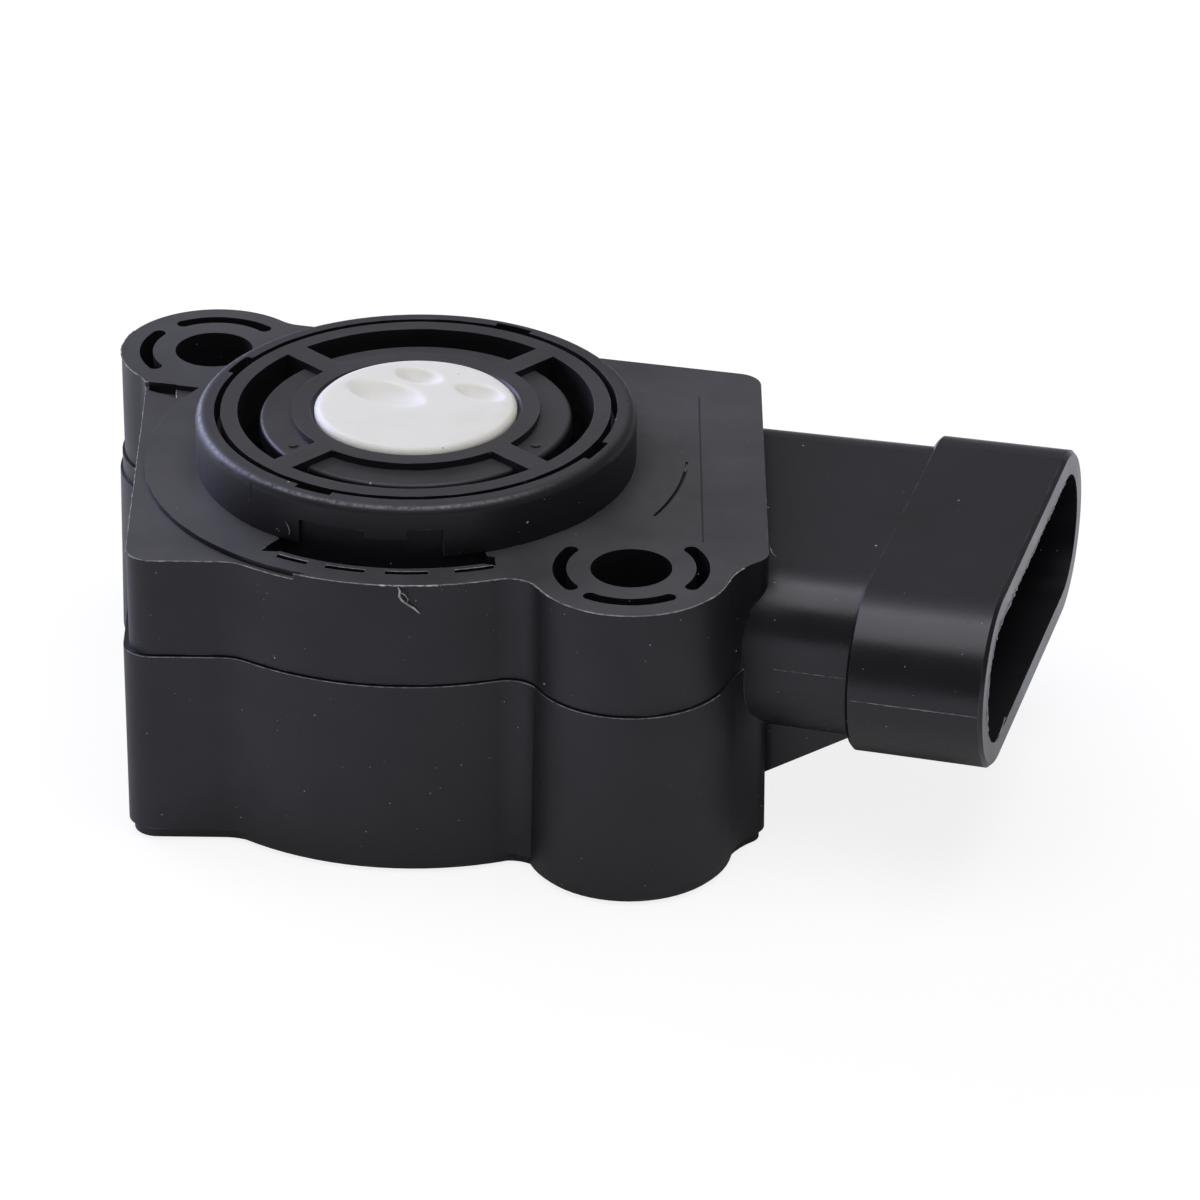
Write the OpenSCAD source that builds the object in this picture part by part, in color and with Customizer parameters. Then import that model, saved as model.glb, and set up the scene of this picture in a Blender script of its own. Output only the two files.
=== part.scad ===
// Throttle position sensor: a rotary sensor in a two-shell plastic body, with a white drive hub in
// a round pilot boss, two bolting ears and a flat oval plug socket.
// The origin is on the rotor axis at the rear face. +Z points out of the drive side, +X to the plug.

/* [Shells] */
// Height of the bolting ears above the rear face
body_h = 24.6; // [24:0.1:26]
// Height of the line where the two shells meet
seam_z = 16.1; // [15.6:0.1:16.6]
// Outer radius of the round chamber
barrel_r = 21.5; // [21.2:0.1:22]
// Radius of the chamber inside
chamber_r = 18; // [17.6:0.1:18.2]
// Thickness of the rear floor
floor_t = 2.2; // [1.8:0.1:2.6]
// Rotor axis to the left wall
left_w = 21.7; // [21.5:0.1:22.5]
// Rotor axis to the right wall, on the plug side
right_w = 27; // [26.6:0.1:27.4]
// Rotor axis to the slanted back wall
back_w = 20.05; // [19.7:0.05:20.2]
// Slant of the back wall
back_angle = 14; // [12:0.5:15]
// Radius of the upright corners
corner_r = 2.1; // [1.8:0.1:2.4]
// How far the lower shell stands out past the cover
ledge = 0.2; // [0.15:0.05:0.3]
// How far the left flat lies below the ears
flat_drop = 0.45; // [0.2:0.05:0.6]

/* [Ears] */
// Diameter of the circle through the two bolt holes
bolt_circle_d = 50; // [49.5:0.1:50.5]
// Direction of the front ear
bolt_angle = -48.4; // [-49:0.1:-48]
// Diameter of the bolt holes
bolt_hole_d = 6.2; // [5.8:0.1:6.5]
// Outer radius of the front ear
ear_r = 7.65; // [7.5:0.05:7.8]
// Outer radius of the rear ear
rear_ear_r = 7.4; // [7.3:0.05:7.6]
// Depth of the arc slots around a bolt hole
ear_slot_h = 5; // [2:0.5:6]

/* [Pilot boss] */
// Outer radius of the pilot boss
collar_r = 17.07; // [16.9:0.01:17.2]
// Height of the pilot boss above the ears
collar_h = 4.2; // [4:0.1:4.5]
// Radius of the bore that takes the spoked cap
collar_bore_r = 15.6; // [15.5:0.05:15.7]
// Depth of the crescent moat in front of the boss
moat_h = 1.3; // [0.8:0.1:1.5]

/* [Rotor] */
// Radius of the white drive hub
hub_r = 7.85; // [7.7:0.05:8]
// How far the hub stands out of the cap
hub_proud = 0.3; // [0.1:0.1:0.6]
// Depth of the drive recesses in the hub
drive_h = 0.8; // [0.5:0.1:1]
// Turns of the return spring
spring_turns = 4; // [3:1:4]

/* [Plug socket] */
// Angle of the socket, turned from +X towards the front
plug_angle = 15; // [14:0.5:15.5]
// Distance of the shroud's mouth from the rotor axis
mouth_a = 48.3; // [47.5:0.1:50]
// Distance between the centres of the oval's two round ends
oval_w = 23.5; // [23:0.1:24]
// Radius of the shroud's round ends at the mouth
shroud_r = 6.94; // [6.8:0.02:7]
// Distance from the rotor axis to the step between the neck and the shroud
shroud_a = 37.7; // [37.2:0.1:38.2]
// Distance between terminals
terminal_pitch = 4; // [3.8:0.1:4.2]

/* [Hidden] */
$fn = 96;
eps = 0.01;
big = 80;

black = [0.10, 0.10, 0.12];
bone = [0.90, 0.89, 0.86];
tin = [0.75, 0.75, 0.76];

// Corners of the block that the round chamber sits in, counter-clockwise from the front left
slant_n = [sin(back_angle), cos(back_angle)];
function on_back(x) = [x, (back_w - x * slant_n.x) / slant_n.y];
front_left_y = -16.6;
front_right_y = -17.8;
ear_pos = bolt_circle_d / 2 * [cos(bolt_angle), sin(bolt_angle)];
block = [
    [-left_w, front_left_y],
    [right_w, front_right_y],
    on_back(right_w),
    on_back(-ear_pos.x + 2.6),
    [-left_w, -ear_pos.y - 2]
];
// The lower shell's left wall stands out a little more, and its right wall is flush
low_block = [for (p = block) p - [p.x < 0 ? 0.25 : 0.3, 0]];
corners = [corner_r, 1.5, corner_r, corner_r, corner_r];
foot_corners = [4.5, 4, corner_r, corner_r, corner_r];

// Heights inside
collar_top = body_h + collar_h;
cap_seat_z = body_h + 0.4;
ceiling_z = 22.4;
cap_z = cap_seat_z + 0.3;
cap_r = 15.1;
cap_foot_h = 1.5;
ring_in_r = 13.8;
window_in_r = 12.1;
inner_ring_r = 9.6;
disc_drop = 0.6;
disc_t = 1.4;
sleeve_z = 21.9;
running_gap = 0.05;
flange_r = 12;
flange_t = 1.6;
washer_room = 0.7;
flange_z = sleeve_z - washer_room - flange_t;
stem_r = 4.5;
stem_flat = 3.7;
journal_r = 2.45;
bush_r = 3.5;
bush_z = 1.6;
boss_top_z = 6.2;
washer_t = 0.4;
board_z = 8;
board_t = 1.2;
carrier_z = 11;
carrier_t = 1.6;
track_t = 0.05;
post_r = 1.9;
post_circle_r = 14.4;
screw_r = 0.9;
post_angles = [95, 180, 268];

// The rotor's travel between the two stops in the cover, and the return spring
travel = 90;
lug_angle = 200;
lug_half = 5;
stop_half = 4;
stop_clear = 1.5;
stop_angles = [
    lug_angle - lug_half - stop_half - stop_clear,
    lug_angle + travel + lug_half + stop_half + stop_clear
];
tang_angle = 20;
spring_r = 0.45;
coil_r = 10.8;
tang_top_z = collar_top - 1.1;

// The plug socket, measured along its own axis
plug_side = 3.71;
neck_start_a = 16;
neck_start_r = 4.95;
neck_end_r = 5.25;
neck_half_w = 10.15;
neck_half_h = 1.6;
neck_root_x = 24.4;
shroud_start_r = 6.87;
step_round = 0.25;
mouth_round = 0.3;
terminal_count = 6;
socket_r = 5.05;
socket_step_a = 38.6;
socket_deep_r = 4.35;
socket_deep_w = 19;
socket_floor_a = 30;
blade_tip_a = 40.6;
blade_w = 1.5;
blade_t = 0.8;
lead_z = 12.4;
lead_drop_a = 28.6;
pin_circle_r = 15.8;

function unit(v) = v / norm(v);
function wrap(list, i) = list[(i + len(list)) % len(list)];
function half_angle(list, i) =
    let (a = unit(wrap(list, i - 1) - list[i]), b = unit(wrap(list, i + 1) - list[i]))
    acos(a * b) / 2;
function bisector(list, i) =
    unit(unit(wrap(list, i - 1) - list[i]) + unit(wrap(list, i + 1) - list[i]));
// Centre of the arc of radius r[i] that rounds corner i
function arc_centre(list, i, r) =
    list[i] + bisector(list, i) * r[i] / sin(half_angle(list, i));
// The two points where that arc meets the walls, on walls moved out by grow
function arc_ends(list, i, r, grow) =
    let (
        c = arc_centre(list, i, r),
        a = unit(wrap(list, i - 1) - list[i]),
        b = unit(wrap(list, i + 1) - list[i])
    )
    [c + (r[i] + grow) * [-a.y, a.x], c + (r[i] + grow) * [b.y, -b.x]];

// Centre of a fillet of radius f in the corner between two circles
function between_circles(c1, r1, c2, r2, f, side) =
    let (
        d = norm(c2 - c1),
        u = (c2 - c1) / d,
        a = r1 + f,
        b = r2 + f,
        t = (d * d + a * a - b * b) / (2 * d),
        h = sqrt(a * a - t * t)
    )
    c1 + t * u + side * h * [-u.y, u.x];
// Centre of a fillet of radius f between a circle and the wall from p to q
function beside_wall(c, r, p, q, f, side) =
    let (
        u = unit(q - p),
        n = [u.y, -u.x],
        w = p + f * n - c,
        t = -(w * u) + side * sqrt((w * u) * (w * u) - w * w + (r + f) * (r + f))
    )
    p + f * n + t * u;
// Foot of point f on the wall from p to q
function foot(f, p, q) = let (u = unit(q - p)) p + ((f - p) * u) * u;

// A convex outline with true arcs at its corners
module rounded(list, r, grow = 0) {
    polygon([for (i = [0:len(list) - 1]) each arc_ends(list, i, r, grow)]);
    for (i = [0:len(list) - 1])
        translate(arc_centre(list, i, r)) circle(r[i] + grow);
}

// Fills the corner between points a and b around a fillet
module fillet(a, centre, b, r) {
    difference() {
        polygon([a, centre, b]);
        translate(centre) circle(r);
    }
}

// Plan of the body: round chamber, block and two ears, with its inner corners filled
module outline(walls, grow = 0) {
    chamber_fillet = 2.6;
    front_fillet = 4;
    notch_fillet = 6;
    ear_fillet = 3;
    notch_corner = arc_centre(walls, 1, corners);
    f1 = between_circles([0, 0], barrel_r, ear_pos, ear_r, chamber_fillet, -1);
    f2 = beside_wall([0, 0], barrel_r, walls[0], walls[1], front_fillet, -1);
    f3 = between_circles(ear_pos, ear_r, notch_corner, corners[1], notch_fillet, -1);
    f4 = beside_wall(-ear_pos, rear_ear_r, walls[4], walls[0], ear_fillet, 1);
    f5 = beside_wall(-ear_pos, rear_ear_r, walls[2], walls[3], ear_fillet, -1);
    circle(barrel_r + grow);
    translate(ear_pos) circle(ear_r + grow);
    translate(-ear_pos) circle(rear_ear_r + grow);
    rounded(walls, corners, grow);
    fillet([0, 0], f1, ear_pos, chamber_fillet - grow);
    fillet([0, 0], f2, foot(f2, walls[0], walls[1]), front_fillet - grow);
    fillet(ear_pos, f3, notch_corner, notch_fillet - grow);
    fillet(-ear_pos, f4, foot(f4, walls[4], walls[0]), ear_fillet - grow);
    fillet(-ear_pos, f5, foot(f5, walls[2], walls[3]), ear_fillet - grow);
}

// Places children in the socket's frame: x along its axis, y across, z up from its middle
module along_plug() {
    rotate([0, 0, -plug_angle]) translate([0, plug_side, seam_z]) children();
}

// A bar of oval section along the socket's axis, from radius r0 at a0 to r1 at a1
module oval_bar(a0, a1, r0, r1, wide = oval_w) {
    h = a1 - a0;
    translate([a0, 0, 0]) rotate([90, 0, 90]) {
        for (side = [-1, 1])
            translate([side * wide / 2, 0, 0]) cylinder(h = h, r1 = r0, r2 = r1);
        translate([-wide / 2, 0, 0]) rotate([90, 0, 90]) linear_extrude(wide)
            polygon([[-r0, 0], [r0, 0], [r1, h], [-r1, h]]);
    }
}

// The neck: a bar with a flat top and rounded edges, flush with the shroud's flats at its end
module neck_bar(grow = 0) {
    r0 = neck_start_r + grow;
    r1 = neck_end_r + grow;
    h = shroud_a - neck_start_a + step_round;
    w = neck_half_w;
    t = neck_half_h;
    translate([neck_start_a, 0, 0]) rotate([90, 0, 90]) {
        for (x = [-w, w], y = [-t, t]) translate([x, y, 0]) cylinder(h = h, r1 = r0, r2 = r1);
        translate([-w, 0, 0]) rotate([90, 0, 90]) linear_extrude(2 * w)
            polygon([[-t - r0, 0], [t + r0, 0], [t + r1, h], [-t - r1, h]]);
        translate([0, t, 0]) rotate([90, 0, 0]) linear_extrude(2 * t)
            polygon([[-w - r0, 0], [w + r0, 0], [w + r1, h], [-w - r1, h]]);
    }
}

// A ring sector: r0 to r1, z0 to z1, from angle from, through sweep degrees
module sector(r0, r1, z0, z1, from, sweep) {
    rotate_extrude(angle = sweep, start = from)
        translate([r0, z0]) square([r1 - r0, z1 - z0]);
}

module ring(r0, r1, z0, z1) {
    translate([0, 0, z0]) difference() {
        cylinder(h = z1 - z0, r = r1);
        translate([0, 0, -1]) cylinder(h = z1 - z0 + 2, r = r0);
    }
}

function terminal_y(i) = (i - (terminal_count + 1) / 2) * terminal_pitch;
function pin_a(i) = let (p = plug_side + terminal_y(i)) sqrt(pin_circle_r ^ 2 - p ^ 2);

// One blade, bent down through the socket's back wall to the element board
module terminal_shape(i) {
    top = blade_t / 2;
    lead = lead_z - seam_z;
    tail = board_z - 0.6 - seam_z;
    a = pin_a(i);
    along_plug() translate([0, terminal_y(i) + blade_w / 2, 0]) rotate([90, 0, 0])
        linear_extrude(blade_w) polygon([
            [blade_tip_a - 1.2, top], [blade_tip_a, top / 3],
            [blade_tip_a, -top / 3], [blade_tip_a - 1.2, -top],
            [lead_drop_a + blade_t, -top], [lead_drop_a + blade_t, lead - top],
            [a + blade_t / 2, lead - top], [a + blade_t / 2, tail],
            [a - blade_t / 2, tail], [a - blade_t / 2, lead + top],
            [lead_drop_a, lead + top], [lead_drop_a, top]
        ]);
}

module terminals() {
    for (i = [1:terminal_count]) terminal_shape(i);
}

// Outer skin of the neck and shroud of the plug socket
module socket_skin() {
    along_plug() {
        neck_bar();
        oval_bar(shroud_a, shroud_a + step_round, shroud_start_r - step_round, shroud_start_r);
        oval_bar(shroud_a + step_round, mouth_a - mouth_round, shroud_start_r, shroud_r);
        oval_bar(mouth_a - mouth_round, mouth_a, shroud_r, shroud_r - mouth_round);
    }
}

module socket_hollow() {
    along_plug() {
        oval_bar(socket_step_a, mouth_a + 1, socket_r, socket_r);
        oval_bar(socket_floor_a, socket_step_a + eps, socket_deep_r, socket_deep_r,
            socket_deep_w);
    }
}

// The part of the socket that lies outside the body or inside its right wall
module neck(grow = 0) {
    intersection() {
        if (grow == 0) socket_skin();
        else along_plug() neck_bar(grow);
        translate([neck_root_x - grow, -big / 2, 0]) cube([big, big, big]);
    }
}

// Ramp under the neck
module gusset() {
    wide = oval_w;
    inner_a = 23;
    wall_a = 30;
    end_a = 36.8;
    gusset_wall_z = 5.2;
    gusset_end_z = 9.3;
    slope = (gusset_end_z - gusset_wall_z) / (end_a - wall_a);
    along_plug() translate([0, wide / 2, -seam_z]) rotate([90, 0, 0]) linear_extrude(wide)
        polygon([
            [inner_a, gusset_wall_z - slope * (wall_a - inner_a)], [end_a, gusset_end_z],
            [end_a, seam_z], [inner_a, seam_z]
        ]);
}

module housing_block() {
    foot_h = 0.9;
    foot_in = 1.5;
    round_foot = 0.3;
    lip = 0.12;
    translate([0, 0, foot_h]) linear_extrude(seam_z - lip - foot_h) outline(low_block, ledge);
    linear_extrude(seam_z) outline(low_block, -ledge);
    // chamfered foot
    cylinder(h = round_foot, r1 = barrel_r + ledge - round_foot, r2 = barrel_r + ledge);
    translate([0, 0, round_foot - eps]) cylinder(h = foot_h, r = barrel_r + ledge);
    hull() {
        linear_extrude(eps) rounded(low_block, foot_corners, ledge - foot_in);
        translate([0, 0, foot_h + 0.1]) linear_extrude(eps)
            rounded(low_block, corners, ledge - 0.04);
    }
    // the ear columns widen a little towards the foot
    for (column = [[ear_pos - [0.15, 0], ear_r + 0.3], [-ear_pos, rear_ear_r + 0.6]])
        translate(column[0]) {
            cylinder(h = round_foot, r1 = column[1] - round_foot, r2 = column[1]);
            translate([0, 0, round_foot - eps])
                cylinder(h = seam_z - 2, r1 = column[1], r2 = column[1] - 0.2);
        }
}

module housing() {
    color(black) difference() {
        union() {
            difference() {
                union() {
                    housing_block();
                    neck();
                    gusset();
                }
                translate([0, 0, floor_t]) cylinder(h = big, r = chamber_r);
                socket_hollow();
            }
            // bearing boss and board posts on the floor
            translate([0, 0, floor_t - eps]) cylinder(h = boss_top_z - floor_t + eps, r = 5.6);
            for (a = post_angles) rotate(a) translate([post_circle_r, 0, floor_t - eps])
                cylinder(h = board_z - floor_t + eps, r = post_r);
        }
        translate([0, 0, bush_z]) cylinder(h = big, r = bush_r);
        for (a = post_angles) rotate(a) translate([post_circle_r, 0, board_z - 4])
            cylinder(h = 5, r = screw_r);
        for (side = [-1, 1]) translate(side * ear_pos)
            translate([0, 0, -1]) cylinder(h = big, r = bolt_hole_d / 2);
        terminals();
    }
}

// Plan of a slot along an arc of radius r, with round ends that are a little wider than the slot
module arc_slot(r, half_w, half_a) {
    far = 3 * r;
    end_r = half_w + 0.02;
    difference() {
        circle(r + half_w);
        circle(r - half_w);
        polygon([
            [0, 0], far * [cos(half_a), sin(half_a)], [-far, far],
            [-far, -far], far * [cos(half_a), -sin(half_a)]
        ]);
    }
    for (end = [-1, 1]) rotate(end * half_a) translate([r, 0]) circle(end_r);
}

// Rounded arc slots around a bolt hole, each given by its direction and half its angle
module ear_slots(slots) {
    slot_r = 5.43;
    slot_half_w = 0.53;
    translate([0, 0, body_h - ear_slot_h]) linear_extrude(big)
        for (slot = slots) rotate(slot[0]) arc_slot(slot_r, slot_half_w, slot[1]);
}

// Section of the collar, rounded at its outer rim
module collar_section() {
    rim = 0.8;
    difference() {
        union() {
            translate([ring_in_r + 0.4, ceiling_z])
                square([collar_r - ring_in_r - 0.4, collar_top - rim - ceiling_z]);
            translate([ring_in_r + 0.4, ceiling_z])
                square([collar_r - rim - ring_in_r - 0.4, collar_top - ceiling_z]);
            translate([collar_r - rim, collar_top - rim]) circle(rim, $fn = 48);
        }
        translate([0, cap_seat_z]) square([collar_bore_r, big]);
    }
}

// The crescent moat, with the little slots outside it and the relief in the collar above it
module moat() {
    moat_r = 18.8;
    from = -126;
    sweep = 55;
    floor_z = body_h - moat_h;
    sector(collar_r - 1.2, moat_r, floor_z, big, from, sweep);
    // both ends run out to a point
    translate([0, 0, floor_z]) linear_extrude(big) {
        polygon([[-11.4, -15.9], [-10.2, -14.0], [-9.4, -15.2], [-10.1, -16.0]]);
        polygon([[5.4, -16.6], [6.3, -16.9], [6.4, -18.3], [5.5, -18.0]]);
    }
    for (slot = [[-121.3, 7.6], [-109.3, 9.1], [-95.7, 9.7], [-80.2, 8.9]])
        sector(moat_r + 0.45, moat_r + 0.95, body_h - 0.9, body_h + 1, slot[0], slot[1]);
}

// Shallow step in the front of the collar, above the moat, and a low strip along the whole moat
module collar_relief() {
    relief = 0.3;
    sector(collar_r - relief, collar_r + 0.05, body_h - moat_h, body_h + 0.1, -126.5, 56);
    for (step = [[-120, 18.3, 2.1], [-101.7, 10.7, 1.5], [-91, 9.2, 2.35]])
        sector(collar_r - relief, collar_r + 1, body_h - moat_h, body_h + step[2],
            step[0], step[1]);
}

module cover() {
    pad_line_y = 13;
    notch_gap = 0.08;
    flat_z = body_h - flat_drop;
    gate_h = 0.5;
    color(black) difference() {
        union() {
            difference() {
                translate([0, 0, seam_z]) linear_extrude(body_h - seam_z) outline(block);
                // the left flat is a step lower than the chamber and the ear
                translate([0, 0, flat_z]) linear_extrude(big) difference() {
                    polygon([
                        [-left_w - 2, front_left_y - 3], [-8, front_left_y - 3],
                        [-8, pad_line_y - 3.5], [-left_w - 2, pad_line_y + 0.4]
                    ]);
                    circle(barrel_r - 0.4);
                }
                translate([0, 0, seam_z - 1]) cylinder(h = ceiling_z - seam_z + 1, r = chamber_r);
                moat();
            }
            rotate_extrude() collar_section();
            // stops at the two ends of the rotor's travel
            for (a = stop_angles) sector(flange_r + 0.6, chamber_r + 0.5,
                flange_z - 0.1, ceiling_z + 0.2, a - stop_half, 2 * stop_half);
        }
        translate([0, 0, seam_z - 1]) cylinder(h = big, r = ring_in_r + 0.4);
        collar_relief();
        // snap notches in the bore
        for (a = [62, 152, 242, 332])
            sector(collar_bore_r - 0.5, collar_bore_r + 0.5, collar_top - 1.6, big, a - 5.5, 11);
        translate(ear_pos) ear_slots([[0, 33], [180, 33], [268, 33]]);
        translate(-ear_pos) ear_slots([[180, 33], [82, 37.5]]);
        // small gate pocket at the rear end of the left flat
        translate([-left_w, pad_line_y, flat_z - gate_h]) linear_extrude(big)
            polygon([[0.2, -0.05], [2.4, -0.6], [2.5, -2.1], [0.2, -0.7]]);
        for (side = [-1, 1]) translate(side * ear_pos)
            cylinder(h = big, r = bolt_hole_d / 2);
        neck(notch_gap);
        // witness arc of the mould insert on the right flat
        sector(20.9, 21.1, body_h - 0.15, body_h + 1, -29, 26);
    }
}

module retainer_cap() {
    spoke_w = 1.9;
    spoke_h = 2.2;
    z_disc = collar_top - disc_drop;
    round_r = 0.35;
    bore_chamfer = 0.3;
    color(black) {
        difference() {
            union() {
                // outer ring, standing on its foot
                ring(ring_in_r, cap_r, cap_z, collar_top);
                ring(ring_in_r, collar_bore_r - 0.05, cap_z, cap_z + cap_foot_h);
                // inner ring and bearing sleeve
                ring(hub_r + running_gap, inner_ring_r, sleeve_z, collar_top);
                // disc with a rounded outer edge
                rotate_extrude() {
                    translate([inner_ring_r - 1, z_disc - disc_t])
                        square([window_in_r - inner_ring_r + 1, disc_t - round_r]);
                    translate([inner_ring_r - 1, z_disc - disc_t])
                        square([window_in_r - round_r - inner_ring_r + 1, disc_t]);
                    translate([window_in_r - round_r, z_disc - round_r]) circle(round_r, $fn = 32);
                }
                // spokes from the inner ring to the outer
                for (a = [44, 134, 224, 314]) rotate(a)
                    translate([inner_ring_r - 1, -spoke_w / 2, collar_top - spoke_h])
                        cube([ring_in_r - inner_ring_r + 1.6, spoke_w, spoke_h]);
                // lugs low in two of the windows
                for (a = [198, 344])
                    sector(ring_in_r - 0.7, ring_in_r + 0.3, cap_z, collar_top - 1.2, a - 4, 8);
                // ejector pips
                for (a = [90, 210, 330]) rotate(a) translate([10.75, 0, z_disc - eps])
                    cylinder(h = 0.12, r = 0.38, $fn = 24);
            }
            translate([0, 0, collar_top - bore_chamfer])
                cylinder(h = 1, r1 = hub_r + running_gap, r2 = hub_r + running_gap + 1);
            // blind hole for the spring's upper tang
            rotate(tang_angle + 16) translate([coil_r, 0, sleeve_z])
                cylinder(h = tang_top_z + 0.1 - sleeve_z, r = spring_r + 0.15);
        }
    }
}

module cap_seal() {
    color(black) ring(ring_in_r + 0.5, collar_bore_r - 0.1, cap_seat_z, cap_z);
}

// Plan of the stem, round with two flats that drive the wiper carrier
module stem_plan() {
    intersection() {
        circle(stem_r);
        square([3 * stem_r, 2 * stem_flat], center = true);
    }
}

// Long hollow in a flat top, deepest in its middle, that runs out at both ends
module recess(half_len, half_wide, depth) {
    across_r = (half_wide ^ 2 + depth ^ 2) / (2 * depth);
    along_r = (half_len ^ 2 + depth ^ 2) / (2 * depth);
    translate([0, 0, across_r - depth]) rotate([0, 90, 0]) rotate_extrude() intersection() {
        translate([across_r - along_r, 0]) circle(along_r);
        translate([0, -along_r]) square(2 * along_r);
    }
}

module rotor_hub() {
    hub_top = collar_top + hub_proud;
    hub_chamfer = 0.35;
    color(bone) difference() {
        union() {
            translate([0, 0, flange_z]) cylinder(h = hub_top - hub_chamfer - flange_z, r = hub_r);
            translate([0, 0, hub_top - hub_chamfer])
                cylinder(h = hub_chamfer, r1 = hub_r, r2 = hub_r - hub_chamfer);
            translate([0, 0, flange_z]) cylinder(h = flange_t, r = flange_r);
            sector(flange_r - 1, flange_r + 1.9, flange_z, flange_z + flange_t,
                lug_angle - lug_half, 2 * lug_half);
            translate([0, 0, boss_top_z + washer_t])
                linear_extrude(flange_z - boss_top_z - washer_t + eps) stem_plan();
            translate([0, 0, bush_z + 0.2])
                cylinder(h = boss_top_z + washer_t - bush_z, r = journal_r);
        }
        // soft recesses: a bar is left between the front one and the two behind it
        translate([0, 0, hub_top]) {
            translate([-2.4, 1.9, 0]) rotate(-33) recess(3.6, 1.8, drive_h);
            translate([0.1, 4.9, 0]) rotate(-31) recess(2.1, 1.2, drive_h - 0.1);
            translate([4.9, 2.0, 0]) rotate(-36) recess(2.3, 1.15, drive_h - 0.1);
        }
        // groove for the hub's seal
        difference() {
            translate([0, 0, 25.2]) cylinder(h = 1.5, r = hub_r + 1);
            translate([0, 0, 25]) cylinder(h = 2, r = hub_r - 0.8);
        }
        // hole for the spring's tang
        rotate(tang_angle) translate([coil_r, 0, flange_z - 1])
            cylinder(h = flange_t + 2, r = spring_r + 0.15);
    }
}

module hub_seal() {
    color(black) rotate_extrude() translate([hub_r - 0.38, 25.95]) circle(0.41, $fn = 32);
}

// Closed tube along a path that winds around the Z axis
module wire(path, r, sides = 8) {
    n = len(path);
    points = [for (i = [0:n - 1])
        let (
            t = unit(path[min(i + 1, n - 1)] - path[max(i - 1, 0)]),
            outward = unit([path[i].x, path[i].y, 0]),
            u = unit(outward - (outward * t) * t),
            v = cross(t, u)
        )
        each [for (k = [0:sides - 1])
            path[i] + r * (cos(360 * k / sides) * u + sin(360 * k / sides) * v)]];
    skin = [for (i = [0:n - 2], k = [0:sides - 1])
        let (a = i * sides + k, b = i * sides + (k + 1) % sides)
        each [[a, a + sides, b], [a + sides, b + sides, b]]];
    caps = [
        [for (k = [0:sides - 1]) k],
        [for (k = [0:sides - 1]) n * sides - 1 - k]
    ];
    polyhedron(points, concat(skin, caps));
}

// Torsion spring around the cap's sleeve. One tang sits in the cap, the other over its hole in
// the rotor's flange
module return_spring() {
    steps = 24;
    bend = 4;
    turn_in = 2 * bend;
    coil_z = flange_z + flange_t + spring_r + 0.35;
    rise = 1.0;
    function spiral(deg, z) = [
        coil_r * cos(tang_angle + deg), coil_r * sin(tang_angle + deg), z
    ];
    last = turn_in + 360 * spring_turns;
    last_z = coil_z + rise * spring_turns;
    path = concat(
        [spiral(0, flange_z + flange_t + 0.06), spiral(bend / 4, coil_z - spring_r / 2)],
        [for (i = [0:steps * spring_turns])
            spiral(turn_in + 360 * i / steps, coil_z + rise * i / steps)],
        [spiral(last + turn_in * 0.8, last_z + spring_r / 2), spiral(last + turn_in, tang_top_z)]
    );
    color(tin) wire(path, spring_r);
}

// Wavy spring washer between the rotor flange and the end of the cap's sleeve
module wave_washer() {
    thick = 0.1;
    wave = 0.09;
    inner = hub_r + 0.15;
    outer = inner_ring_r - 0.1;
    mid_z = flange_z + flange_t + wave + thick / 2 + 0.06;
    steps = 48;
    points = [for (i = [0:steps - 1], p = [[inner, -1], [outer, -1], [outer, 1], [inner, 1]])
        let (a = 360 * i / steps)
        [p[0] * cos(a), p[0] * sin(a), mid_z + wave * sin(3 * a) + p[1] * thick / 2]];
    faces = [for (i = [0:steps - 1], k = [0:3])
        let (j = (i + 1) % steps, m = (k + 1) % 4)
        each [[4 * i + k, 4 * j + k, 4 * i + m], [4 * j + k, 4 * j + m, 4 * i + m]]];
    color(tin) polyhedron(points, faces);
}

module wiper_carrier() {
    color(black) difference() {
        union() {
            translate([0, 0, carrier_z]) cylinder(h = carrier_t, r = 11.4);
            translate([0, 0, carrier_z]) cylinder(h = 4, r = 6.4);
        }
        translate([0, 0, carrier_z - 1]) linear_extrude(6) stem_plan();
    }
}

// Leaf contact under the carrier: a flat pad with two fingers that bend down to the tracks
module wiper(inner, outer) {
    pad_t = 0.2;
    tip_z = board_z + board_t + track_t + 0.04;
    pad_z = carrier_z - pad_t;
    color([0.72, 0.55, 0.28]) {
        translate([inner, -3.2, pad_z]) cube([outer - inner, 2.6, pad_t]);
        for (r = [inner + 0.2, outer - 1.2])
            translate([r + 1, 0, 0]) rotate([90, 0, -90]) linear_extrude(1) polygon([
                [-0.7, pad_z], [-0.7, pad_z + pad_t], [0.8, pad_z + pad_t], [4.0, tip_z + 0.5],
                [4.6, tip_z + 0.7], [4.7, tip_z + 0.5], [4.1, tip_z], [3.8, tip_z + 0.1],
                [0.7, pad_z]
            ]);
    }
}

module signal_wiper() {
    rotate(60) wiper(7.4, 11.2);
}

module check_wiper() {
    rotate(240) wiper(7.4, 11.2);
}

module element_board() {
    color([0.16, 0.30, 0.22]) difference() {
        ring(6.2, chamber_r - 0.4, board_z, board_z + board_t);
        for (a = post_angles) rotate(a) translate([post_circle_r, 0, board_z - 1])
            cylinder(h = 4, r = screw_r);
        terminals();
    }
}

// Printed arcs on the board: a resistive and a collector arc for each wiper
module resistive_tracks() {
    sweep = 130;
    color([0.05, 0.05, 0.05]) for (side = [0, 180], r = [7.6, 10])
        sector(r, r + 1, board_z + board_t, board_z + board_t + track_t, side + 20, sweep);
}

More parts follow.
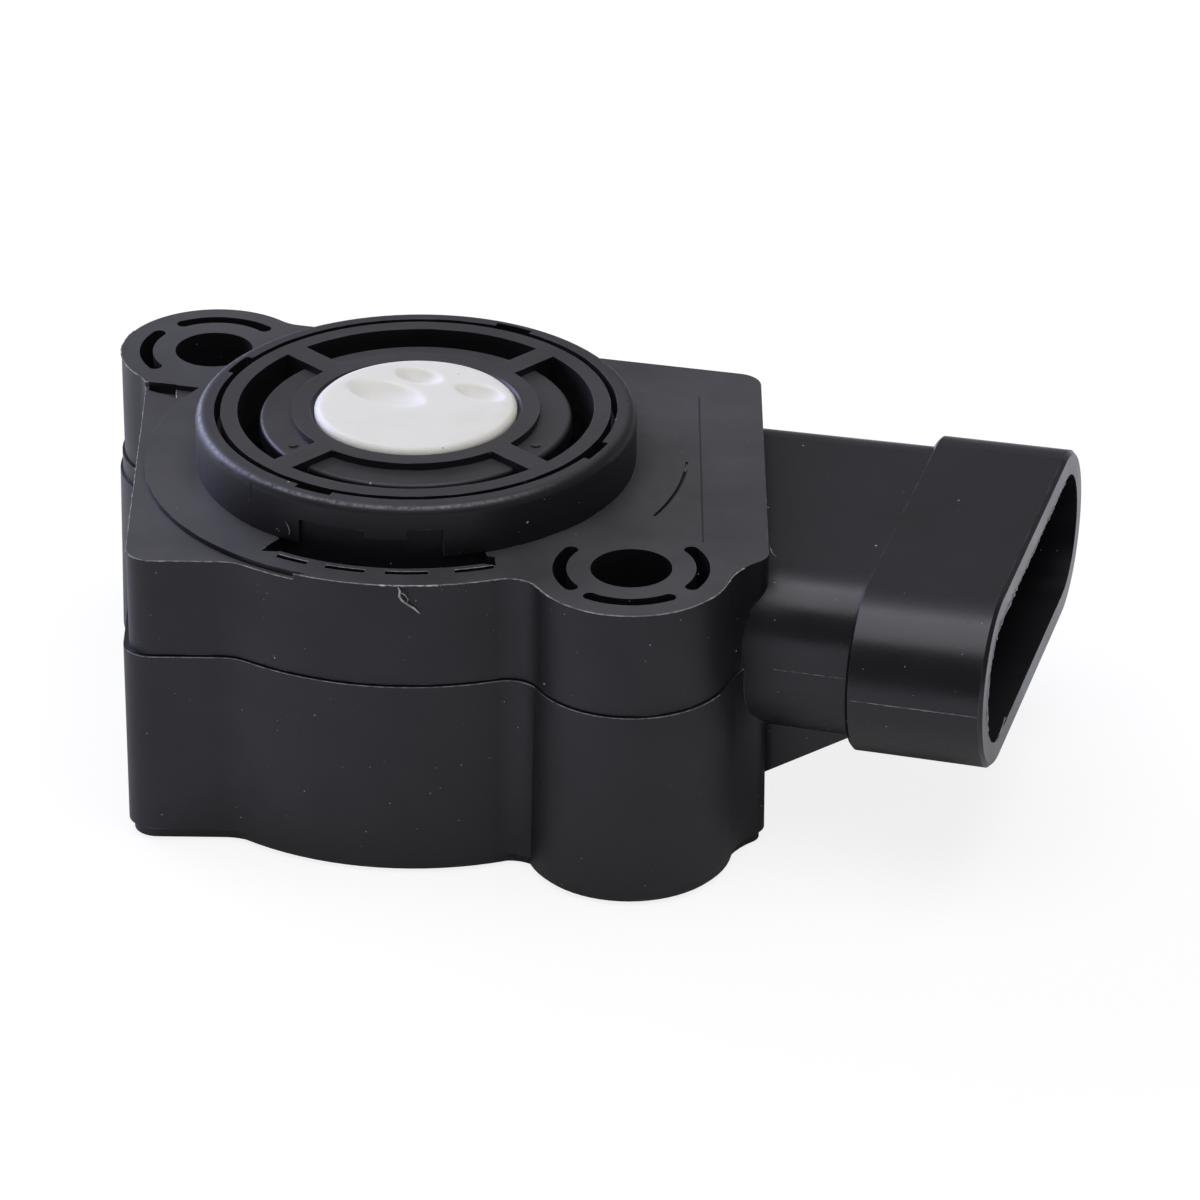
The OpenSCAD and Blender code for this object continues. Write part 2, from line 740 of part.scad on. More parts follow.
module board_screws() {
    color(tin) for (a = post_angles) rotate(a) translate([post_circle_r, 0, 0]) {
        translate([0, 0, board_z - 3.6]) cylinder(h = 3.6 + board_t, r = screw_r);
        difference() {
            translate([0, 0, board_z + board_t]) cylinder(h = 1, r = 1.6);
            translate([-1.1, -0.2, board_z + board_t + 0.5]) cube([2.2, 0.4, 1]);
        }
    }
}

module pivot_bush() {
    color([0.78, 0.62, 0.32]) ring(journal_r + running_gap, bush_r, bush_z, boss_top_z);
}

module thrust_washer() {
    color(tin) ring(journal_r + 0.25, 5, boss_top_z, boss_top_z + washer_t - 0.05);
}

// Sealant poured over the roots of the blades
module terminal_sealant() {
    color([0.2, 0.2, 0.2]) difference() {
        along_plug() oval_bar(socket_floor_a, socket_floor_a + 1.2, socket_deep_r,
            socket_deep_r, socket_deep_w);
        terminals();
    }
}

module terminal(i) {
    color([0.80, 0.72, 0.45]) terminal_shape(i);
}

housing();
cover();
retainer_cap();
cap_seal();
rotor_hub();
hub_seal();
return_spring();
wave_washer();
wiper_carrier();
signal_wiper();
check_wiper();
element_board();
resistive_tracks();
board_screws();
pivot_bush();
thrust_washer();
terminal_sealant();
terminal(1);  // terminal_1
terminal(2);  // terminal_2
terminal(3);  // terminal_3
terminal(4);  // terminal_4
terminal(5);  // terminal_5
terminal(6);  // terminal_6
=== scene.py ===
import math
import random

import bmesh
import bpy
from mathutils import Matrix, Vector, noise as wander


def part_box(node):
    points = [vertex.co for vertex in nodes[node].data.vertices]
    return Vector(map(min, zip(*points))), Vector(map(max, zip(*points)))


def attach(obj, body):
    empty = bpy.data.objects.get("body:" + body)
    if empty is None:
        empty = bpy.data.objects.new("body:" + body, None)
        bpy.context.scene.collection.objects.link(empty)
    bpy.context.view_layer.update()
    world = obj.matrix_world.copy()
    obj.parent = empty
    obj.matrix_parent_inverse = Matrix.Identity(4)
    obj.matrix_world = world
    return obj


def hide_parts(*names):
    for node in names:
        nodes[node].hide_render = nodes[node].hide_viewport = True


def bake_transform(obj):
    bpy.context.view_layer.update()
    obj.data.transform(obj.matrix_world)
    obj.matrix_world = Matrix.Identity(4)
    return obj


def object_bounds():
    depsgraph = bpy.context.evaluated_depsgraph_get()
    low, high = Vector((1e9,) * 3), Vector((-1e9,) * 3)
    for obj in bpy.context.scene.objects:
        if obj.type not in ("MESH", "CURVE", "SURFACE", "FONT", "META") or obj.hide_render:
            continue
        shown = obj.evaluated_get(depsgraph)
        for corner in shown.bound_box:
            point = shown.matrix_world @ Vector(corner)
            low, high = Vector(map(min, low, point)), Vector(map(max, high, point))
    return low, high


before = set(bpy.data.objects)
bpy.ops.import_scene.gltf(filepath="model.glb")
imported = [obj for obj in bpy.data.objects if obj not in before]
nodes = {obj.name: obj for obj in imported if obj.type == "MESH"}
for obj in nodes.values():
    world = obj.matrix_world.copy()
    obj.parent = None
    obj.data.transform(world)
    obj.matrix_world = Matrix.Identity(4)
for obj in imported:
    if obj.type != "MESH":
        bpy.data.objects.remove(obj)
cad_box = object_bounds()
MM = 0.001

# The camera looks down on the sensor from the front, through a long lens. Its place comes from the
# round boss and the two bolt holes in the photograph.
CAMERA_AT = Vector((0.01424, -0.4856, 0.2715))
LOOK_DOWN_DEG = 28.13
LENS_MM = 210.6
SENSOR_MM = 36

camera_data = bpy.data.cameras.new("view")
camera_data.lens = LENS_MM
camera_data.sensor_width = SENSOR_MM
camera = bpy.data.objects.new("view", camera_data)
camera.location = CAMERA_AT
camera.rotation_euler = (math.radians(90 - LOOK_DOWN_DEG), 0, 0)
bpy.context.scene.collection.objects.link(camera)
bpy.context.scene.camera = camera
bpy.context.scene.view_settings.view_transform = "Standard"


# The studio is a white table that runs out of sight. Two soft boxes hang above it, a wide weak panel
# stands behind it, and a cool one at the rear left. The table looks white and keeps the shadow.
def put(name, mesh):
    thing = bpy.data.objects.new(name, mesh)
    bpy.context.scene.collection.objects.link(thing)
    return thing


def add_node(tree, kind, values=None, **settings):
    """A shader node with its sockets set, each to a plain value or to another node's output."""
    node = tree.nodes.new(kind)
    for key, value in settings.items():
        setattr(node, key, value)
    for key, value in (values or {}).items():
        if isinstance(value, bpy.types.NodeSocket):
            tree.links.new(value, node.inputs[key])
        else:
            node.inputs[key].default_value = value
    return node


def maths(tree, operation, *values):
    return add_node(tree, "ShaderNodeMath", dict(enumerate(values)), operation=operation).outputs[0]


LIT_SPOT = Vector((0, 0, 0.01))


def soft_panel(name, at, size, watts, tint=(1.0, 1.0, 1.0)):
    data = bpy.data.lights.new(name, "AREA")
    data.shape = "RECTANGLE"
    data.size, data.size_y = size
    data.energy = watts
    data.color = tint
    panel = bpy.data.objects.new(name, data)
    panel.location = at
    panel.rotation_euler = (LIT_SPOT - Vector(at)).to_track_quat("-Z", "Y").to_euler()
    bpy.context.scene.collection.objects.link(panel)


WHITE = (1, 1, 1, 1)
TABLE_WHITE = (0.86, 0.86, 0.86, 1)
TABLE_HALF = 3.0
TABLE_DROP = 0.0002
TABLE_GLOW = 1.06
GLOW_SHARE = 0.80
ROOM_LIGHT = 0.17
ROOM_SEEN = 1.0

corners = [(-1, -1), (1, -1), (1, 1), (-1, 1)]
table_mesh = bpy.data.meshes.new("table")
table_mesh.from_pydata([(x * TABLE_HALF, y * TABLE_HALF, 0) for x, y in corners], [], [(0, 1, 2, 3)])
table = put("table", table_mesh)
table.location.z = -TABLE_DROP

white_table = bpy.data.materials.new("white_table")
white_table.use_nodes = True
tree = white_table.node_tree
tree.nodes.clear()
seen = add_node(tree, "ShaderNodeLightPath")
paper = add_node(tree, "ShaderNodeBsdfDiffuse", {"Color": TABLE_WHITE})
glow = add_node(tree, "ShaderNodeEmission", {"Color": WHITE, "Strength": TABLE_GLOW})
share = maths(tree, "MULTIPLY", seen.outputs["Is Camera Ray"], GLOW_SHARE)
mixed = add_node(tree, "ShaderNodeMixShader", {0: share, 1: paper.outputs[0], 2: glow.outputs[0]})
add_node(tree, "ShaderNodeOutputMaterial", {"Surface": mixed.outputs[0]})
table_mesh.materials.append(white_table)

soft_panel("softbox_above", at=(0.0, -0.12, 0.55), size=(0.60, 0.42), watts=2.0)
soft_panel("softbox_rear", at=(0.0, 0.12, 0.55), size=(0.60, 0.20), watts=0.58)
soft_panel("panel_back", at=(0.0, 0.75, 0.30), size=(1.40, 0.60), watts=0.28)
soft_panel(
    "panel_left_rear", at=(-0.50, 0.45, 0.25), size=(0.50, 0.40), watts=4.6, tint=(0.64, 0.68, 1.0)
)

world = bpy.data.worlds.new("white_room")
world.use_nodes = True
tree = world.node_tree
tree.nodes.clear()
seen = add_node(tree, "ShaderNodeLightPath").outputs
direct = maths(tree, "MAXIMUM", seen["Is Camera Ray"], seen["Is Transmission Ray"])
room = add_node(tree, "ShaderNodeMix", {0: direct, 2: ROOM_LIGHT, 3: ROOM_SEEN}, data_type="FLOAT")
sky = add_node(tree, "ShaderNodeBackground", {"Color": WHITE, "Strength": room.outputs[0]})
add_node(tree, "ShaderNodeOutputWorld", {"Surface": sky.outputs[0]})
bpy.context.scene.world = world


# The two shells are moulded in black glass-filled plastic and welded to each other at the seam.
# The plastic is satin and a little cloudy, paler on its flats with dust and a painted sheen,
# and light along its edges with scuffs and a painted highlight.
def finish_of(name):
    """A new material, its node tree, the place on the object, and the shader to be filled in."""
    material = bpy.data.materials.new(name)
    material.use_nodes = True
    tree = material.node_tree
    tree.nodes.clear()
    place = add_node(tree, "ShaderNodeNewGeometry").outputs["Position"]
    shader = add_node(tree, "ShaderNodeBsdfPrincipled")
    add_node(tree, "ShaderNodeOutputMaterial", {"Surface": shader.outputs[0]})
    return material, tree, place, shader


def dress(name, material):
    for slot in nodes[name].material_slots:
        slot.material = material


def noise(tree, place, per_metre, detail=3.0, rough=0.55):
    values = {"Vector": place, "Scale": per_metre, "Detail": detail, "Roughness": rough}
    return add_node(tree, "ShaderNodeTexNoise", values).outputs["Fac"]


def ramp(tree, value, start, end, first=0.0, last=1.0):
    """Goes from first to last while value goes from start to end, and no further."""
    values = {0: value, 1: start, 2: end, 3: first, 4: last}
    return add_node(tree, "ShaderNodeMapRange", values, clamp=True).outputs[0]


def band(tree, value, middle, half, soft=0.05 * MM):
    """1 where value lies within half of middle."""
    off = maths(tree, "ABSOLUTE", maths(tree, "SUBTRACT", value, middle))
    return ramp(tree, off, start=half, end=half + soft, first=1.0, last=0.0)


def times(tree, *values):
    product = values[0]
    for value in values[1:]:
        product = maths(tree, "MULTIPLY", product, value)
    return product


def blend(tree, amount, a, b):
    """The colour a, turning to b as amount goes from 0 to 1."""
    mix = add_node(tree, "ShaderNodeMix", data_type="RGBA")
    for socket, value in ((mix.inputs[0], amount), (mix.inputs[6], a), (mix.inputs[7], b)):
        if isinstance(value, bpy.types.NodeSocket):
            tree.links.new(value, socket)
        else:
            socket.default_value = value
    return mix.outputs[2]


def z_of(tree, vector):
    return add_node(tree, "ShaderNodeSeparateXYZ", {0: vector}).outputs[2]


def edge_wear_and_glint(tree, place, reach, patches):
    """1 on sharp edges, broken up by noise, for wear and a painted edge highlight."""
    rounded = add_node(tree, "ShaderNodeBevel", {"Radius": reach}, samples=6).outputs[0]
    flat = add_node(tree, "ShaderNodeNewGeometry").outputs["True Normal"]
    same = add_node(tree, "ShaderNodeVectorMath", {0: rounded, 1: flat}, operation="DOT_PRODUCT")
    edge = ramp(tree, same.outputs["Value"], start=0.985, end=0.90)
    broken = ramp(tree, noise(tree, place, patches, detail=4), start=0.47, end=0.66)
    return times(tree, edge, broken)


SPECK_CORE = 0.55


def dust(tree, place, per_metre, speck):
    """1 on tiny specks, in about one cell of five."""
    values = {"Vector": place, "Scale": per_metre, "Randomness": 1.0}
    cells = add_node(tree, "ShaderNodeTexVoronoi", values).outputs
    near = ramp(tree, cells["Distance"], start=speck, end=speck * SPECK_CORE)
    pick = add_node(tree, "ShaderNodeSeparateColor", {0: cells["Color"]}).outputs[0]
    return times(tree, near, ramp(tree, pick, start=0.80, end=0.84))


def upward(tree, place):
    """1 on the cover's flats that look up, for settled dust and a painted sheen, less on the boss, and
    0 elsewhere.
    """
    lift = z_of(tree, add_node(tree, "ShaderNodeNewGeometry").outputs["Normal"])
    height = z_of(tree, place)
    level = ramp(tree, lift, start=0.85, end=0.99)
    on_cover = ramp(tree, height, start=23.4 * MM, end=23.6 * MM)
    on_boss = ramp(tree, height, start=25.5 * MM, end=26.5 * MM, first=1.0, last=0.55)
    return times(tree, level, on_cover, on_boss)


# the first colour lightens sharp edges, for wear and a painted highlight; the second is dust specks
EDGE_WEAR_AND_GLINT = (0.10, 0.10, 0.11, 1)
PALE_DUST = (0.30, 0.30, 0.31, 1)
COOL_SHEEN = (0.93, 0.92, 1.0, 1)


def moulded_black(name, dark, light, dust_and_sheen, rough, grain, marks=None):
    """Black plastic, cloudy between dark and light, paler on upward flats with dust and a painted
    sheen, light on sharp edges with wear and a painted highlight, and finely pitted.
    """
    material, tree, place, shader = finish_of(name)
    cloud = ramp(tree, noise(tree, place, 45, detail=5), start=0.38, end=0.68)
    tone = blend(tree, cloud, dark, light)
    patchy = noise(tree, place, 90, detail=6, rough=0.65)
    patchy = ramp(tree, patchy, start=0.32, end=0.66, first=0.60, last=1.06)
    # paler where flats look up: settled dust, and a painted sheen for the light they catch from above
    tone = blend(tree, times(tree, upward(tree, place), patchy), tone, dust_and_sheen)
    # lighter on sharp edges: wear, and a painted highlight where the edges would catch light
    tone = blend(tree, edge_wear_and_glint(tree, place, reach=0.14 * MM, patches=420), tone, EDGE_WEAR_AND_GLINT)
    tone = blend(tree, dust(tree, place, per_metre=330, speck=0.035), tone, PALE_DUST)
    matt = noise(tree, place, 160, detail=4)
    matt = ramp(tree, matt, start=0.3, end=0.7, first=rough - 0.04, last=rough + 0.05)
    if marks:
        tone, matt = marks(tree, place, tone, matt)
    tree.links.new(tone, shader.inputs["Base Color"])
    tree.links.new(matt, shader.inputs["Roughness"])
    shader.inputs["Specular Tint"].default_value = COOL_SHEEN
    pits = {"Height": noise(tree, place, grain, detail=2), "Strength": 0.25, "Distance": 0.02 * MM}
    tree.links.new(add_node(tree, "ShaderNodeBump", pits).outputs[0], shader.inputs["Normal"])
    return material


BOSS_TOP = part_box("cover")[1][2]
BOSS_R = 17.07 * MM
PALE_RIM_GREY = (0.13, 0.13, 0.145, 1)
STREAK_GREY = (0.035, 0.035, 0.04, 1)
LINE_BLACK = (0.001, 0.001, 0.001, 1)
# nearly black, for the painted shade of the step on the right flat
STEP_SHADE_BLACK = (0.0005, 0.0005, 0.0005, 1)
LINE_DEPTH = 0.8
LINE_MATT = 0.3
LEFT_SHARE = 0.9


def pale_rim_band(tree, place, x, y, z, radius):
    """A broken lighter band near the top edge of the boss, strongest along its front and left."""
    ring = band(tree, radius, middle=BOSS_R - 0.35 * MM, half=0.05 * MM, soft=0.12 * MM)
    at_top = ramp(tree, z, start=BOSS_TOP - 0.6 * MM, end=BOSS_TOP - 0.4 * MM)
    ahead = maths(tree, "MULTIPLY_ADD", x, LEFT_SHARE, y)
    ahead = ramp(tree, ahead, start=-2 * MM, end=-14 * MM)
    broken = ramp(tree, noise(tree, place, 2200, detail=5, rough=0.7), start=0.36, end=0.62)
    return times(tree, ring, at_top, ahead, broken)


def mould_lines(tree, x, y, z, radius):
    """A straight line along the right flat, and an upright one on the boss."""
    straight = band(tree, x, middle=22.05 * MM, half=0.04 * MM)
    on_flat = ramp(tree, z, start=24.4 * MM, end=24.5 * MM)
    straight = times(tree, straight, on_flat, band(tree, y, middle=-2.2 * MM, half=12.4 * MM))
    upright = band(tree, x, middle=-12.25 * MM, half=0.07 * MM)
    at_front = ramp(tree, y, start=-11 * MM, end=-11.2 * MM)
    on_boss = band(tree, radius, middle=BOSS_R, half=0.1 * MM)
    return maths(tree, "ADD", straight, times(tree, upright, at_front, on_boss))


def painted_step_shade(tree, x, y, radius):
    """Painted shade in a curved line on the right flat, beside the boss, where the raised disc round
    the boss steps down.
    """
    arc = band(tree, radius, middle=21.0 * MM, half=0.13 * MM)
    length = band(tree, y, middle=-6.3 * MM, half=3.4 * MM, soft=0.6 * MM)
    return times(tree, arc, length, ramp(tree, x, start=12 * MM, end=12.5 * MM))


def pale_grey_streak(tree, place, x, y, radius):
    """A short paler grey streak between the boss and the painted step shade."""
    arc = band(tree, radius, middle=19.7 * MM, half=0.15 * MM, soft=0.4 * MM)
    length = band(tree, y, middle=-7.4 * MM, half=1.3 * MM, soft=0.5 * MM)
    right = ramp(tree, x, start=16 * MM, end=16.5 * MM)
    broken = ramp(tree, noise(tree, place, 1100, detail=4), start=0.4, end=0.65, last=0.8)
    return times(tree, arc, length, right, broken)


def smoother_plug(tree, x):
    """What the roughness loses on the plug socket, mostly on its rounded sides, as a negative."""
    lift = z_of(tree, add_node(tree, "ShaderNodeNewGeometry").outputs["Normal"])
    smoother = ramp(tree, lift, start=0.98, end=0.90, first=-0.04, last=-0.21)
    return times(tree, smoother, ramp(tree, x, start=24.0 * MM, end=30.0 * MM))


def shell_marks(tree, place, tone, matt):
    """The shells' mould lines, light and grey marks and a painted step shade, over their colour and
    roughness.
    """
    x, y, z = add_node(tree, "ShaderNodeSeparateXYZ", {0: place}).outputs
    in_plan = add_node(tree, "ShaderNodeVectorMath", {0: place, 1: (1, 1, 0)}, operation="MULTIPLY")
    radius = add_node(tree, "ShaderNodeVectorMath", {0: in_plan.outputs[0]}, operation="LENGTH")
    radius = radius.outputs["Value"]
    lines = mould_lines(tree, x, y, z, radius)
    # a broken lighter band near the boss's top edge, strongest along its front and left
    tone = blend(tree, pale_rim_band(tree, place, x, y, z, radius), tone, PALE_RIM_GREY)
    # a short paler grey streak on the right flat, beside the boss
    tone = blend(tree, pale_grey_streak(tree, place, x, y, radius), tone, STREAK_GREY)
    tone = blend(tree, times(tree, lines, LINE_DEPTH), tone, LINE_BLACK)
    # painted shade of the step's wall, a nearly black arc on the right flat
    tone = blend(tree, painted_step_shade(tree, x, y, radius), tone, STEP_SHADE_BLACK)
    matt = maths(tree, "ADD", matt, times(tree, lines, LINE_MATT))
    matt = maths(tree, "ADD", matt, smoother_plug(tree, x))
    return tone, matt


# the pale colour for upward flats stands for dust and a painted sheen
shell_black = moulded_black(
    "shell_black", dark=(0.0042, 0.0042, 0.0056, 1), light=(0.0072, 0.0070, 0.0092, 1),
    dust_and_sheen=(0.048, 0.047, 0.051, 1), rough=0.50, grain=5200, marks=shell_marks
)
dress("housing", shell_black)
dress("cover", shell_black)


# The six blades in the plug socket are stamped from copper alloy strip, bent down to the board and
# tinned. Dark resin, poured over their roots, seals the socket's floor.
def metal(name, dark, light, rough, brushed=(1, 1, 1)):
    """Bare metal, whose marks lie closer along x, y or z where brushed is more than 1."""
    material, tree, place, shader = finish_of(name)
    stretched = add_node(tree, "ShaderNodeMapping", {"Vector": place, "Scale": brushed}).outputs[0]
    marks = noise(tree, stretched, 900, detail=4)
    tone = blend(tree, ramp(tree, marks, start=0.35, end=0.7), dark, light)
    tree.links.new(tone, shader.inputs["Base Color"])
    matt = ramp(tree, marks, start=0.3, end=0.7, first=rough - 0.06, last=rough + 0.1)
    tree.links.new(matt, shader.inputs["Roughness"])
    shader.inputs["Metallic"].default_value = 1.0
    scratches = {"Height": marks, "Strength": 0.2, "Distance": 0.01 * MM}
    tree.links.new(add_node(tree, "ShaderNodeBump", scratches).outputs[0], shader.inputs["Normal"])
    return material


def dark_film(name, dark, light, rough):
    """A poured or printed layer, cloudy between two dark colours."""
    material, tree, place, shader = finish_of(name)
    tone = blend(tree, noise(tree, place, 700, detail=4), dark, light)
    tree.links.new(tone, shader.inputs["Base Color"])
    shader.inputs["Roughness"].default_value = rough
    return material


BLADES = 6
tin = metal(
    "tinned_blade", dark=(0.56, 0.54, 0.48, 1), light=(0.74, 0.72, 0.66, 1), rough=0.28,
    brushed=(4, 1, 1)
)
for number in range(1, BLADES + 1):
    dress(f"terminal_{number}", tin)
resin = dark_film("sealant", dark=(0.015, 0.014, 0.014, 1), light=(0.03, 0.03, 0.028, 1), rough=0.25)
dress("terminal_sealant", resin)

# The element board is a disc of green-brown laminate with a fine weave. The tracks that the wipers
# run on are printed on it in black carbon ink.
LAMINATE_DARK = (0.05, 0.10, 0.06, 1)
LAMINATE_LIGHT = (0.09, 0.15, 0.08, 1)
WEAVE_PALE = (0.16, 0.20, 0.12, 1)
WEAVE_SHARE = 0.2


def laminate(name):
    material, tree, place, shader = finish_of(name)
    weave = add_node(tree, "ShaderNodeTexChecker", {"Vector": place, "Scale": 2200}).outputs["Fac"]
    tone = blend(tree, noise(tree, place, 120), LAMINATE_DARK, LAMINATE_LIGHT)
    tone = blend(tree, times(tree, weave, WEAVE_SHARE), tone, WEAVE_PALE)
    tree.links.new(tone, shader.inputs["Base Color"])
    shader.inputs["Roughness"].default_value = 0.35
    return material


ink = dark_film("track_ink", dark=(0.008, 0.008, 0.008, 1), light=(0.02, 0.02, 0.02, 1), rough=0.5)
dress("element_board", laminate("laminate"))
dress("resistive_tracks", ink)

# Three screws hold the board, and a washer lies on the floor's boss under the rotor's stem. All are
# zinc-plated steel. The stem's foot turns in a bush of sintered bronze.
zinc = metal("zinc_plate", dark=(0.50, 0.51, 0.53, 1), light=(0.66, 0.67, 0.69, 1), rough=0.34)
dress("board_screws", zinc)
dress("thrust_washer", zinc)
bronze = metal("bronze", dark=(0.42, 0.26, 0.10, 1), light=(0.58, 0.38, 0.16, 1), rough=0.45)
dress("pivot_bush", bronze)

# The wiper carrier is pressed on the rotor's stem, and the retainer cap snaps into the boss. Both
# are moulded in black plastic like the shells, slightly greyer and glossier.
# here too the pale colour for upward flats is dust and a painted sheen
cap_black = moulded_black(
    "cap_black", dark=(0.0055, 0.0055, 0.0066, 1), light=(0.0095, 0.0093, 0.0112, 1),
    dust_and_sheen=(0.054, 0.053, 0.057, 1), rough=0.46, grain=6200
)
dress("wiper_carrier", cap_black)
dress("retainer_cap", cap_black)

# Two leaves of bright copper alloy are fixed under the carrier and turn with it. One wipes the track
# that gives the signal, the other the track that checks it.
leaf = metal(
    "contact_leaf", dark=(0.60, 0.40, 0.16, 1), light=(0.74, 0.54, 0.26, 1), rough=0.22,
    brushed=(1, 6, 1)
)
dress("signal_wiper", leaf)
dress("check_wiper", leaf)

# The rotor is turned by the throttle's shaft. It is moulded in off-white acetal, which lets light
# in, so its recesses look soft. It has faint stains.
ACETAL = (0.72, 0.71, 0.68, 1)
YELLOW_STAIN = (0.63, 0.61, 0.54, 1)
STAIN_SHARE = 0.35
GRIME = (0.10, 0.09, 0.08, 1)


def hub_white(name):
    material, tree, place, shader = finish_of(name)
    stain = ramp(tree, noise(tree, place, 190, detail=4), start=0.52, end=0.72)
    tone = blend(tree, times(tree, stain, STAIN_SHARE), ACETAL, YELLOW_STAIN)
    tone = blend(tree, dust(tree, place, per_metre=260, speck=0.03), tone, GRIME)
    tree.links.new(tone, shader.inputs["Base Color"])
    shader.inputs["Roughness"].default_value = 0.48
    shader.inputs["Subsurface Weight"].default_value = 1.0
    shader.inputs["Subsurface Radius"].default_value = (1.0, 0.9, 0.8)
    shader.inputs["Subsurface Scale"].default_value = 1.3 * MM
    soft = add_node(tree, "ShaderNodeBevel", {"Radius": 0.7 * MM}, samples=10).outputs[0]
    waves = {"Height": noise(tree, place, 420), "Strength": 0.3, "Distance": 0.05 * MM, "Normal": soft}
    tree.links.new(add_node(tree, "ShaderNodeBump", waves).outputs[0], shader.inputs["Normal"])
    return material


dress("rotor_hub", hub_white("hub_white"))

# The return spring is wound from drawn steel wire, and the wave washer is pressed from steel strip.
# The spring's lower end turns with the rotor and its upper end stays, so its coils wind up; here it is
# an unwound copy of its part, which is hidden.
spring_steel = metal(
    "spring_steel", dark=(0.42, 0.42, 0.44, 1), light=(0.60, 0.60, 0.62, 1), rough=0.30,
    brushed=(1, 1, 5)
)
dress("wave_washer", spring_steel)

wound_mesh = nodes["return_spring"].data.copy()
wound_mesh.materials.clear()
wound_mesh.materials.append(spring_steel)
wound_spring = put("wound_spring", wound_mesh)
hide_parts("return_spring")
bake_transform(wound_spring)

# Both seals are soft black rubber, one flat under the cap and one round in the hub's groove. They
# are matt, with a slight grey bloom.
RUBBER_BLACK = (0.012, 0.012, 0.012, 1)
BLOOM_GREY = (0.03, 0.03, 0.03, 1)


def seal_rubber(name):
    material, tree, place, shader = finish_of(name)
    bloom = ramp(tree, noise(tree, place, 500), start=0.4, end=0.7)
    tree.links.new(blend(tree, bloom, RUBBER_BLACK, BLOOM_GREY), shader.inputs["Base Color"])
    shader.inputs["Roughness"].default_value = 0.7
    return material


rubber = seal_rubber("seal_rubber")
dress("cap_seal", rubber)
dress("hub_seal", rubber)


# The mould left a thin light flash along the cover's front and left edges, torn and ragged, and
# weaker ones on the little slots before the boss and on the housing's rim at the seam.
def flash_finish(name, thick, thin):
    material, tree, place, shader = finish_of(name)
    torn = ramp(tree, noise(tree, place, 1500, detail=4), start=0.35, end=0.65)
    tree.links.new(blend(tree, torn, thick, thin), shader.inputs["Base Color"])
    shader.inputs["Roughness"].default_value = 0.6
    return material


def add_piece(name, shape, material, body="body"):
    """The closed shape as a piece that rides on a body."""
    bmesh.ops.recalc_face_normals(shape, faces=shape.faces)
    mesh = bpy.data.meshes.new(name)
    shape.to_mesh(mesh)
    shape.free()
    mesh.materials.append(material)
    piece = put(name, mesh)
    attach(piece, body)


SAME_POINT = 0.001 * MM
LOOKS_UP = 0.95
STANDS = 0.3


def rim_edges(name, keep):
    """Edges between an upward face and a wall of a node, where keep(middle, wall's normal) is true."""
    solid = bmesh.new()
    solid.from_mesh(nodes[name].data)
    bmesh.ops.remove_doubles(solid, verts=solid.verts, dist=SAME_POINT)
    found = []
    for edge in solid.edges:
        if len(edge.link_faces) != 2:
            continue
        wall, top = sorted(edge.link_faces, key=lambda face: face.normal.z)
        if top.normal.z < LOOKS_UP or abs(wall.normal.z) > STANDS:
            continue
        start, end = (corner.co.copy() for corner in edge.verts)
        if keep((start + end) / 2, wall.normal):
            found.append((start, end, wall.normal.copy(), top.normal.copy()))
    solid.free()
    return found


# a fin's width is its reach times the mean and the two shares, of long and of short tears
FIN_STEP = 0.22 * MM
COARSE_TEARS = 350
FINE_TEARS = 2600
FIN_MEAN = 0.45
COARSE_SHARE = 0.55
FINE_SHARE = 0.75
FIN_ROOT = 0.02 * MM
FIN_TIP = 0.004 * MM
FIN_CURL = 0.35
FIN_HEEL = 0.003 * MM
FIN_DEPTH = 0.04 * MM
FIN_DROOP = 0.4


def ragged_fin(name, rims, reach, material, seed, gaps=-1.0):
    """A thin torn fin along rims, each a start, an end, an outward and an upward direction.

    It is torn away where the noise of the long tears is under gaps.
    """
    fin = bmesh.new()
    for start, end, out, up in rims:
        steps = max(1, round((end - start).length / FIN_STEP))
        last = None
        for i in range(steps + 1):
            at = start.lerp(end, i / steps)
            coarse = wander.noise(at * COARSE_TEARS + Vector((seed, 0, 0)))
            fine = wander.noise(at * FINE_TEARS + Vector((0, seed, 0)))
            wide = reach * max(0.0, FIN_MEAN + COARSE_SHARE * coarse + FINE_SHARE * fine)
            if coarse < gaps:
                wide = 0.0
            row = [
                fin.verts.new(at - out * FIN_ROOT + up * FIN_ROOT),
                fin.verts.new(at + out * (wide + FIN_TIP) + up * wide * FIN_CURL * fine),
                fin.verts.new(at + out * FIN_HEEL - up * (FIN_DEPTH + FIN_DROOP * wide)),
            ]
            if last:
                for k in range(3):
                    fin.faces.new((last[k], row[k], row[(k + 1) % 3], last[(k + 1) % 3]))
            else:
                fin.faces.new(row)
            last = row
        fin.faces.new(last)
    for corner in fin.verts:
        corner.co.y = max(corner.co.y, cad_box[0][1])
    add_piece(name, fin, material)


EAR_AT = Vector((16.6, -18.7, 0)) * MM
EAR_CLEAR_R = 7.2 * MM
BOSS_CLEAR_R = 21.2 * MM
FLATS_Z = 24 * MM
BESIDE_PLUG_X = 25 * MM
A_LITTLE = 0.1
MOSTLY = 0.5
SQUARELY = 0.9


def on_rim(middle):
    """Along the cover's outer edge, away from the boss and from the holes and slots in the ears."""
    in_plan = Vector((middle.x, middle.y, 0))
    ears = min((in_plan - EAR_AT).length, (in_plan + EAR_AT).length)
    outside = in_plan.length > BOSS_CLEAR_R and ears > EAR_CLEAR_R
    return outside and middle.z > FLATS_Z and middle.x < BESIDE_PLUG_X


def on_front_rim(middle, normal):
    return on_rim(middle) and -normal.y > A_LITTLE


def on_left_rim(middle, normal):
    return on_rim(middle) and -normal.x > SQUARELY


SEAM_RIM_Z = 15.98 * MM
SEAM_NEAR = 0.1 * MM


